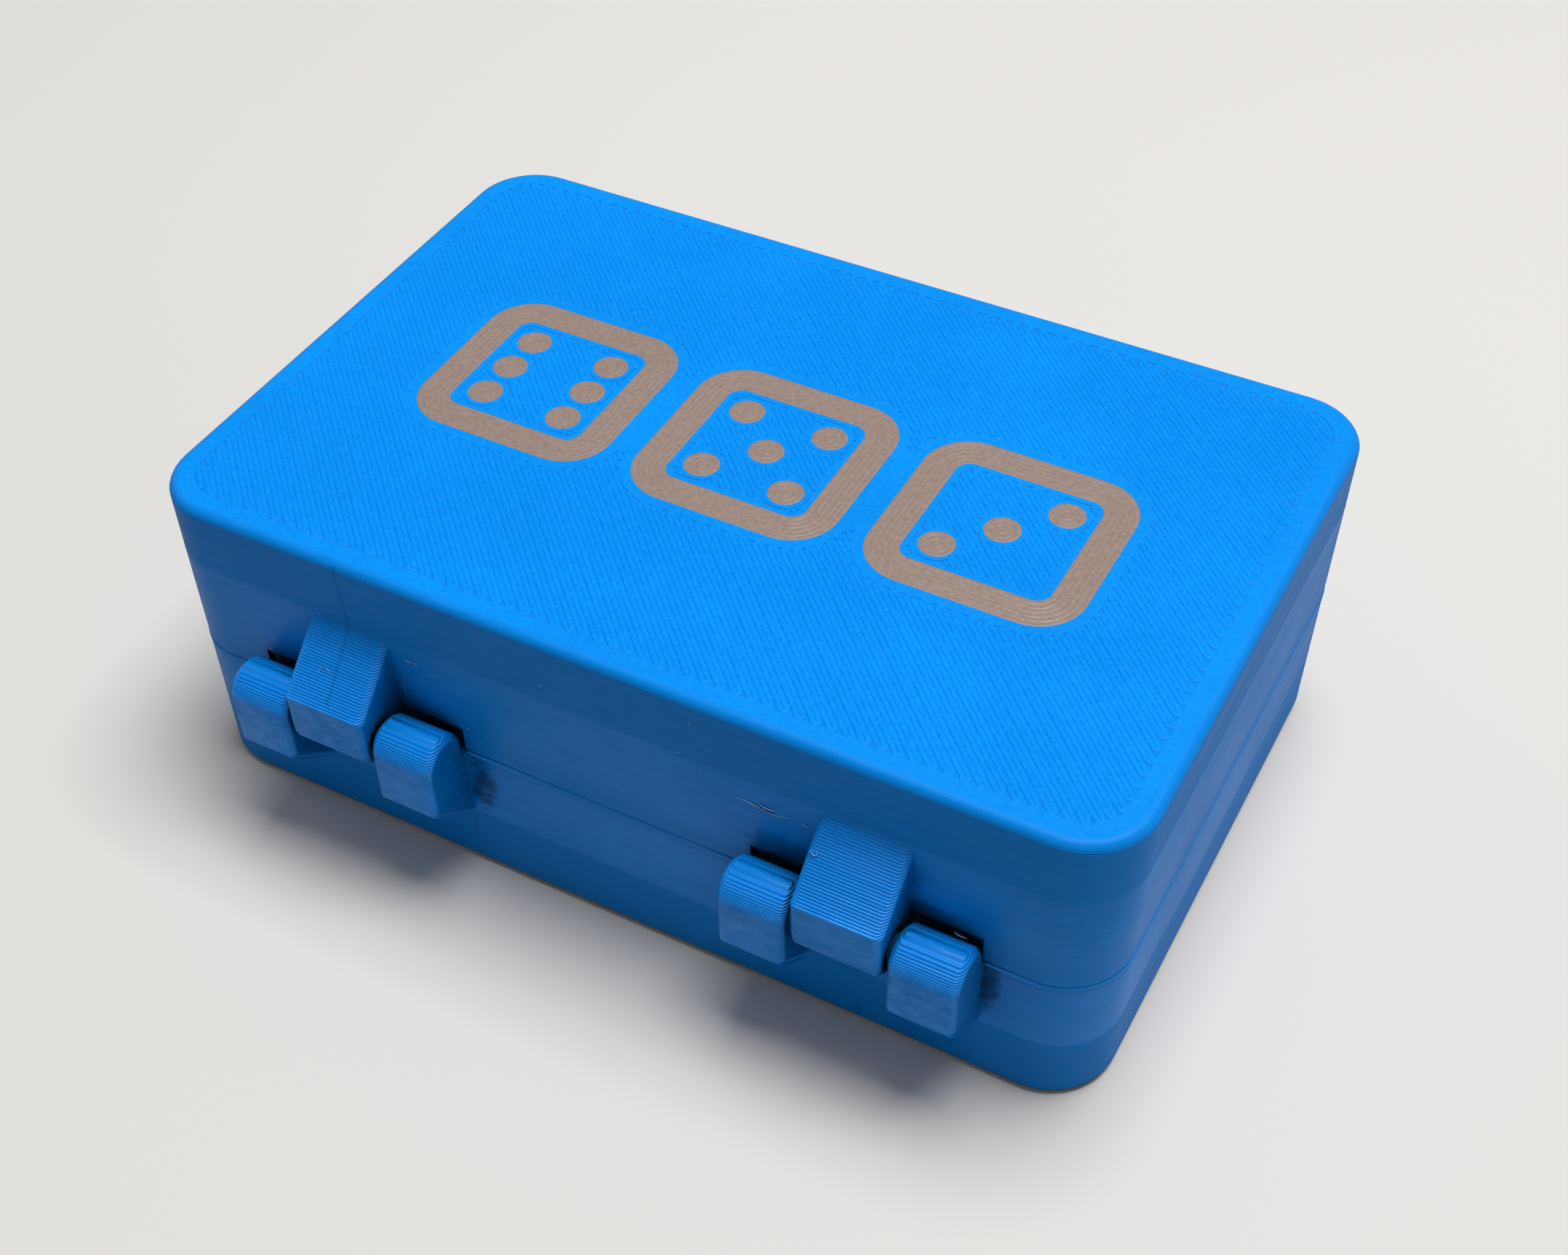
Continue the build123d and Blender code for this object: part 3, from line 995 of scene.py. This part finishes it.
def brown_lines(scene):
    """Brown plastic as laid lines, with small glossy flecks."""
    finish = Finish("brown_lines", Specular_IOR_Level=0.5)
    place = finish.place()
    grain = finish.noise(place, 2.2, 3.0)
    share = finish.between(grain, 0.35, 0.65)
    flecks = finish.noise(place, 3.5, 2.0)
    finish.give(
        Base_Color=finish.shades(share, scene.dice_box_finish.brown, 0.92, 1.08),
        Roughness=finish.between(flecks, 0.4, 0.6, 0.3, 0.55),
        Normal=finish.bump(grain, 0.02, 0.7),
    )
    return finish.material


def pale_strings(scene):
    """Thin strings of stretched plastic, pale and a little glossy."""
    finish = Finish("pale_strings", Specular_IOR_Level=0.4)
    grain = finish.noise(finish.place(), 4.0, 2.0)
    share = finish.between(grain, 0.35, 0.65)
    finish.give(
        Base_Color=finish.shades(share, scene.dice_box_finish.pale, 0.6, 1.1),
        Roughness=finish.between(grain, 0.35, 0.65, 0.3, 0.5),
    )
    return finish.material


# ---------------------------------------------------------------- pieces


def placed(name, data):
    """An object in the scene."""
    made = bpy.data.objects.new(name, data)
    bpy.context.scene.collection.objects.link(made)
    return made


def piece(name, parts, finish, body, node=None):
    """An object from points in millimetres and faces, smooth but for its sharp edges.

    finish is the function that makes its material, which is used again once it is made.
    """
    points, faces = parts
    mesh = bpy.data.meshes.new(name)
    mesh.from_pydata((np.asarray(points) * MM).tolist(), [], faces)
    mesh.shade_smooth()
    mesh.set_sharp_from_angle(angle=math.radians(SHARP))
    ready = bpy.data.materials.get(finish.__name__)
    mesh.materials.append(ready or finish(bpy.context.scene))
    made = placed(name, mesh)
    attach(made, body)
    if node:
        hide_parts(node)


def joined(meshes):
    """Several meshes as one: its points and faces."""
    points, faces = [], []
    for more, sides in meshes:
        faces += [[corner + len(points) for corner in side] for side in sides]
        points += more.tolist()
    return points, faces


def outer_outline(sizes):
    """The flat top or underside: its size and its corner radius."""
    low, high = in_mm("lid")
    size = np.array([high[0] - low[0], 2 * outer_wall()])
    return size - 2 * sizes.edge, sizes.radius - sizes.edge


def inner_outline(sizes):
    """The floor inside the walls: its size and its corner radius."""
    size, radius = outer_outline(sizes)
    in_from_top = sizes.wall + sizes.inner - sizes.edge
    return size - 2 * in_from_top, radius - in_from_top


def ring_place(name):
    """The size and the middle of a die face's ring, with the heights of its underside and top."""
    low, high = in_mm(f"ring_of_{name}")
    return high[:2] - low[:2], (low[:2] + high[:2]) / 2, low[2], high[2]


def pip_centres(name, pitch):
    """The middles of a die face's pips, read from the frame's own pips."""
    spots = cad_mesh(f"pips_of_{name}")[0][:, :2]
    cells = np.round((spots - ring_place(name)[1]) / pitch)
    centres = []
    for cell in np.unique(cells, axis=0):
        own = spots[(cells == cell).all(axis=1)]
        centres.append((own.min(axis=0) + own.max(axis=0)) / 2)
    return centres


def plain_lines(name, body, height, up, sizes, inside):
    """Laid lines over a plain level surface: inside, short of the walls; outside, over the rim."""
    size, radius = inner_outline(sizes) if inside else outer_outline(sizes)
    loops = INNER_LOOPS if inside else sizes.rim_loops
    over = -sizes.wobble if inside else sizes.reach_over
    width = sizes.line
    lines = Lines(height, sizes, up)
    lines.loops(insets(size, radius), loops, width, over=over)

    def outside(spots):
        return outside_rectangle(spots, size, radius) + loops * width

    lines.fill(outside, size.sum() / 2, width, 1 if inside else -1)
    piece(name, lines.mesh(), blue_flats, body)


class DICEBOX_OT_base_tray(bpy.types.Operator):
    """Build the base tray in printed layers, with laid lines on its floor and its underside"""

    bl_idname = "dicebox.base_tray"
    bl_label = "Base tray"

    def execute(self, context):
        sizes = box_sizes(context.scene)
        floor, groove = sizes.floor, sizes.groove
        layers = layered("base_tray", 0.0, sizes, 3, {0.0: groove, floor: floor - groove})
        piece("tray_layers", layers, blue_walls, "base", "base_tray")
        # a line droops along the foot of each knuckle's face and up its outer corner
        front = in_mm("base_tray")[1][1]
        paths = [[(middle + dx, front + dy, z) for dx, dy, z in FOOT_PATH] for middle in FEET]
        feet = joined(string(path, FOOT_LINE) for path in paths)
        piece("tray_foot_lines", feet, blue_walls, "base")
        plain_lines("tray_floor_lines", "base", floor, 1, sizes, True)
        plain_lines("tray_underside_lines", "base", 0.0, -1, sizes, False)
        return {"FINISHED"}


class DICEBOX_OT_lid(bpy.types.Operator):
    """Build the lid in printed layers, with laid lines on its top and inside its roof"""

    bl_idname = "dicebox.lid"
    bl_label = "Lid"

    def execute(self, context):
        sizes = box_sizes(context.scene)
        top = in_mm("lid")[1][2]
        roof = top - sizes.floor
        recesses = {top: top - sizes.groove, roof: roof + sizes.groove}
        layers = layered("lid", top, sizes, 5, recesses)
        piece("lid_layers", layers, blue_walls, "lid", "lid")
        plain_lines("lid_roof_lines", "lid", roof, -1, sizes, True)
        self.top_lines(sizes, top)
        return {"FINISHED"}

    @staticmethod
    def between_lines(lines, faces, sizes):
        """Two straight lines between each pair of die faces; gives the places that they take."""
        places = []
        loops = sizes.face_loops * sizes.line
        for (size, centre), (_, following) in zip(faces, faces[1:]):
            middle = (centre + following) / 2
            room = np.linalg.norm(following - centre) - size[0] - 2 * loops
            tall = size[1] - 2 * sizes.corner + BETWEEN_OVER
            for side in (-1, 1):
                x = middle[0] + side * room / 4
                ends = [(x, middle[1] - tall / 2), (x, middle[1] + tall / 2)]
                lines.lay(ends, room / 2, False)
            places.append((np.array((room + BETWEEN_CLEAR, tall)), middle))
        return places

    def top_lines(self, sizes, top):
        """Lines round the rim, round each die face and round each pip, then the fill."""
        width, stroke, corner = sizes.line, sizes.stroke, sizes.corner
        size, radius = outer_outline(sizes)
        pip_radius = sizes.pip / 2
        lines = Lines(top, sizes)
        lines.loops(insets(size, radius), sizes.rim_loops, width, over=sizes.reach_over)
        faces = [ring_place(name)[:2] for name in FACES]
        pips = [centre for name in FACES for centre in pip_centres(name, sizes.pitch)]
        between_faces = self.between_lines(lines, faces, sizes)
        for face, centre in faces:
            lines.loops(insets(face, corner, centre), sizes.face_loops, width, inward=False)
            lines.loops(insets(face - 2 * stroke, corner - stroke, centre), 1, width)
        for centre in pips:
            lines.lay(circle(pip_radius + PIP_LINE / 2, centre), PIP_LINE, True)

        def outside(spots):
            """Over 0 on the rim's loops, on every ring and pip with its loops and between rings."""
            away = [outside_rectangle(spots, size, radius) + sizes.rim_loops * width]
            for face, centre in faces:
                past_ring = outside_rectangle(spots, face, corner, centre)
                in_ring = outside_rectangle(spots, face - 2 * stroke, corner - stroke, centre)
                away.append(np.minimum(sizes.face_loops * width - past_ring, in_ring + width))
            for centre in pips:
                away.append(PIP_LINE - outside_circle(spots, pip_radius, centre))
            for taken, centre in between_faces:
                away.append(-(np.abs(spots - centre) - taken / 2).max(axis=1))
            return np.max(away, axis=0)

        lines.fill(outside, size.sum() / 2, width, 1)
        piece("lid_top_lines", lines.mesh(), blue_flats, "lid")


class DICEBOX_OT_die_faces(bpy.types.Operator):
    """Lay the brown rings and pips of the die faces, line by line, to their full depth"""

    bl_idname = "dicebox.die_faces"
    bl_label = "Die faces"

    def execute(self, context):
        sizes = box_sizes(context.scene)
        line = sizes.stroke / sizes.ring_lines
        pip_line = sizes.pip / 2 / sizes.pip_lines
        for name in FACES:
            size, centre, low, top = ring_place(name)
            ring, pips = (Lines(top, sizes, 1, top - low, sizes.face_groove) for _ in range(2))
            ring.loops(insets(size, sizes.corner, centre), sizes.ring_lines, line)
            for middle in pip_centres(name, sizes.pitch):
                for k in range(sizes.pip_lines):
                    pips.lay(circle((k + 0.5) * pip_line, middle), pip_line, True)
            for kind, lines in (("ring", ring), ("pips", pips)):
                node = f"{kind}_of_{name}"
                piece(f"laid_{node}", lines.mesh(), brown_lines, "lid", node)
        return {"FINISHED"}


def string(spots, thickness, steps=4, sides=6):
    """A thin round string on a smooth path through spots, tapered at both ends."""
    spots = np.array(spots, float)
    padded = np.concatenate([[2 * spots[0] - spots[1]], spots, [2 * spots[-1] - spots[-2]]])
    path = []
    for a, b, c, d in zip(padded, padded[1:], padded[2:], padded[3:]):
        for t in np.arange(steps) / steps:
            bend = (2 * a - 5 * b + 4 * c - d) * t**2 + (3 * b - a - 3 * c + d) * t**3
            path.append((2 * b + (c - a) * t + bend) / 2)
    path.append(spots[-1])
    path = np.array(path)
    ahead = np.gradient(path, axis=0)
    ahead /= np.linalg.norm(ahead, axis=1, keepdims=True)
    beside = np.cross(ahead, (0.1, 0.9, 0.4))
    beside /= np.linalg.norm(beside, axis=1, keepdims=True)
    above = np.cross(beside, ahead)
    shares = np.linspace(-1, 1, len(path))
    radii = thickness / 2 * (1 - 0.8 * shares**6)
    turns = np.arange(sides) / sides * 2 * math.pi
    rings = path[:, None] + radii[:, None, None] * (
        np.cos(turns)[:, None] * beside[:, None] + np.sin(turns)[:, None] * above[:, None]
    )
    return rings.reshape(-1, 3), tube(len(path), sides, flipped=True)


class DICEBOX_OT_strings(bpy.types.Operator):
    """Lay the thin strings, curls and specks that the nozzle left on the walls and the knuckles"""

    bl_idname = "dicebox.strings"
    bl_label = "Strings and specks"

    def execute(self, context):
        for node, body in (("lid", "lid"), ("base_tray", "base")):
            strings = joined(string(spots, thickness) for thickness, *spots in STRINGS[node])
            piece(f"strings_on_{node}", strings, pale_strings, body)
        return {"FINISHED"}


# ---------------------------------------------------------------- stage


# soft round lamps: the name, the place and the size in metres, and the power in watts
LAMPS = (
    ("lamp_over", (-0.12, -0.12, 0.80), 0.50, 7.2),
    ("lamp_left", (0.75, -0.10, 0.45), 0.40, 0.25),
    ("lamp_right", (-0.80, 0.05, 0.40), 0.40, 0.15),
)
LAMP_AIM = Vector((0.0, 0.0, 0.02))
FLOOR_HALF = 2.5  # half the width of the floor, in metres


class DICEBOX_OT_stage(bpy.types.Operator):
    """Set the pale floor, the soft lamps, the world and the camera"""

    bl_idname = "dicebox.stage"
    bl_label = "Stage"

    def execute(self, context):
        scene = context.scene
        scene.view_settings.view_transform = "Standard"
        self.floor(scene.dice_box_stage)
        self.world(scene)
        for lamp in LAMPS:
            self.lamp(*lamp)
        self.camera(scene, scene.dice_box_stage)
        return {"FINISHED"}

    @staticmethod
    def floor(stage):
        finish = Finish("floor", Roughness=0.8, Specular_IOR_Level=0.1)
        seen = finish.node("ShaderNodeLightPath", output="Is Camera Ray")
        finish.give(Base_Color=finish.shades(seen, stage.floor, 0.55, 1.0))
        mesh = bpy.data.meshes.new("floor")
        square = np.array(((-1, -1, 0), (1, -1, 0), (1, 1, 0), (-1, 1, 0))) * FLOOR_HALF
        mesh.from_pydata(square.tolist(), [], [(0, 1, 2, 3)])
        mesh.materials.append(finish.material)
        placed("floor", mesh)

    @staticmethod
    def world(scene):
        scene.world = bpy.data.worlds.new("soft_room")
        scene.world.use_nodes = True
        back = scene.world.node_tree.nodes["Background"]
        back.inputs["Color"].default_value = (0.93, 0.96, 1.0, 1.0)
        back.inputs["Strength"].default_value = 0.25

    @staticmethod
    def lamp(name, place, size, power):
        lamp = bpy.data.lights.new(name, "AREA")
        lamp.shape = "DISK"
        lamp.size = size
        lamp.energy = power
        made = placed(name, lamp)
        made.location = place
        made.rotation_euler = (LAMP_AIM - Vector(place)).to_track_quat("-Z", "Y").to_euler()

    @staticmethod
    def camera(scene, stage):
        camera = bpy.data.cameras.new("camera")
        camera.sensor_width = 36
        camera.lens = stage.lens
        camera.shift_x, camera.shift_y = stage.shift
        camera.clip_start, camera.clip_end = 0.01, 10
        look = (Vector(stage.aim) - Vector(stage.place)).to_track_quat("-Z", "Y")
        turned = look.to_matrix().to_4x4() @ Matrix.Rotation(stage.roll, 4, "Z")
        scene.camera = placed("camera", camera)
        scene.camera.matrix_world = Matrix.Translation(stage.place) @ turned


class DICEBOX_PT_panel(bpy.types.Panel):
    """Buttons and settings of the dice box"""

    bl_idname = "DICEBOX_PT_panel"
    bl_label = "Dice box"
    bl_space_type = "VIEW_3D"
    bl_region_type = "UI"
    bl_category = "Dice Box"

    def draw(self, context):
        for operator in OPERATORS:
            self.layout.operator(operator.bl_idname)
        for attribute, group in SETTINGS.items():
            box = self.layout.box()
            box.label(text=group.__doc__)
            for name in group.__annotations__:
                box.prop(getattr(context.scene, attribute), name)


SETTINGS = {
    "dice_box_print": PrintSettings,
    "dice_box_inlay": InlaySettings,
    "dice_box_body": BodySettings,
    "dice_box_finish": FinishSettings,
    "dice_box_stage": StageSettings,
}
OPERATORS = (
    DICEBOX_OT_base_tray,
    DICEBOX_OT_lid,
    DICEBOX_OT_die_faces,
    DICEBOX_OT_strings,
    DICEBOX_OT_stage,
)


CLASSES = (*SETTINGS.values(), *OPERATORS, DICEBOX_PT_panel)


def register():
    for each in CLASSES:
        bpy.utils.register_class(each)
    for attribute, group in SETTINGS.items():
        setattr(bpy.types.Scene, attribute, bpy.props.PointerProperty(type=group))


def unregister():
    for attribute in SETTINGS:
        delattr(bpy.types.Scene, attribute)
    for each in reversed(CLASSES):
        bpy.utils.unregister_class(each)


def main():
    """Builds the box and its stage, and keeps the CAD's box and the box of what shows."""
    register()
    for operator in OPERATORS:
        group, name = operator.bl_idname.split(".")
        getattr(getattr(bpy.ops, group), name)()


if __name__ == "__main__":
    main()
